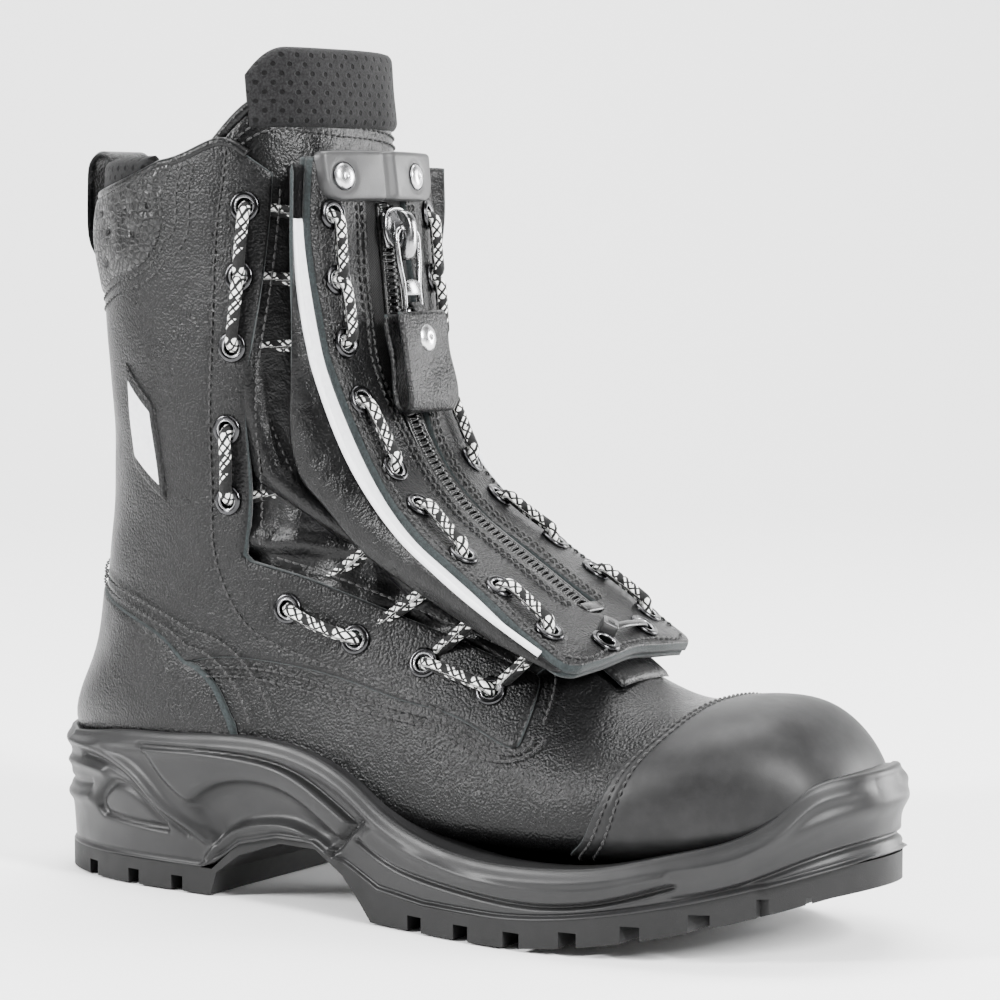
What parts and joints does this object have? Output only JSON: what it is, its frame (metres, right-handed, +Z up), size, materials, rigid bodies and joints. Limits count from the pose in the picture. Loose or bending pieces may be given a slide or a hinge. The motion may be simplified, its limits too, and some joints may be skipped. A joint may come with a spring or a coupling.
{
  "type": "fire boot",
  "caption": "Lace-up fire boot with a laced-in zip insert, padded collar and tongue, safety toe cap and a thick lugged sole.",
  "frame": {"origin": "on the ground under the middle of the sole", "axes": "+X to the toe, +Y to the inner (medial) side, +Z up"},
  "size_m": [0.3189, 0.1159, 0.2888],
  "materials": {
    "tread_rubber": "matte",
    "midsole_pu": "satin",
    "shank_steel": "brushed",
    "board_composite": "matte",
    "footbed_fabric": "matte",
    "grain_leather": "semi-gloss grain",
    "toe_coating": "smooth matte coating",
    "cap_composite": "matte",
    "soft_leather": "soft satin",
    "lining_fabric": "matte",
    "mesh_fabric": "matte",
    "patch_leather": "embossed satin",
    "reflective_tape": "retroreflective",
    "zip_tape": "matte",
    "zip_coil": "satin",
    "gunmetal": "dark polished",
    "lace_cord": "matte, light flecks",
    "tie_plastic": "gloss",
    "clip_plastic": "satin",
    "bright_steel": "polished",
    "slider_metal": "dark polished"
  },
  "bodies": {
    "boot": {"outsole": "tread_rubber", "midsole": "midsole_pu", "shank": "shank_steel", "puncture_plate": "board_composite", "insole_board": "board_composite", "footbed": "footbed_fabric", "heel_cover": "grain_leather", "vamp": "grain_leather", "quarter_lateral": "grain_leather", "quarter_medial": "grain_leather", "toe_cover": "toe_coating", "shaft_facing_lateral": "grain_leather", "shaft_facing_medial": "grain_leather", "instep_facing_lateral": "grain_leather", "instep_facing_medial": "grain_leather", "safety_toe_cap": "cap_composite", "heel_counter": "board_composite", "shaft_foam": "lining_fabric", "gusset_lateral": "soft_leather", "gusset_medial": "soft_leather", "tongue": "soft_leather", "lining": "lining_fabric", "collar_pad": "mesh_fabric", "tongue_pad": "mesh_fabric", "collar_patch_lateral": "patch_leather", "collar_patch_medial": "patch_leather", "reflective_mark_lateral": "reflective_tape", "reflective_mark_medial": "reflective_tape", "pull_loop": "grain_leather", "zip_insert": "grain_leather", "insert_wing_lateral": "soft_leather", "insert_wing_medial": "soft_leather", "reflective_piping_lateral": "reflective_tape", "reflective_piping_medial": "reflective_tape", "zip_tape_lateral": "zip_tape", "zip_tape_medial": "zip_tape", "zip_teeth_lateral": "zip_coil", "zip_teeth_medial": "zip_coil", "zip_bottom_stop": "zip_coil", "insert_eyelets_lateral": "gunmetal", "insert_eyelets_medial": "gunmetal", "quarter_eyelets_lateral": "gunmetal", "quarter_eyelets_medial": "gunmetal", "lace_lateral": "lace_cord", "lace_medial": "lace_cord", "cable_tie": "tie_plastic", "clip_lateral": "clip_plastic", "clip_medial": "clip_plastic", "clip_rivets": "bright_steel", "throat_tab": "soft_leather"},
    "slider": {"zip_slider": "slider_metal"},
    "puller": {"zip_puller": "slider_metal"},
    "strap": {"puller_strap": "grain_leather", "strap_rivet": "bright_steel"}
  },
  "joints": [
    {"name": "zip_slide", "type": "slide", "parent": "boot", "child": "slider", "axis": [0.1083, 0, -0.9941], "range_m": [0, 0.024]},
    {"name": "puller_swing", "type": "hinge", "parent": "slider", "child": "puller", "pos_m": [-0.02223, 0, 0.22612], "axis": [0, -1, 0], "range_deg": [0, 140]},
    {"name": "strap_swing", "type": "hinge", "parent": "puller", "child": "strap", "pos_m": [-0.01919, 0, 0.19819], "axis": [0, -1, 0], "range_deg": [0, 27]}
  ],
  "couplings": [
    {"joint": "strap_swing", "follows": "zip_slide", "rad_per_m": 19.271}
  ]
}
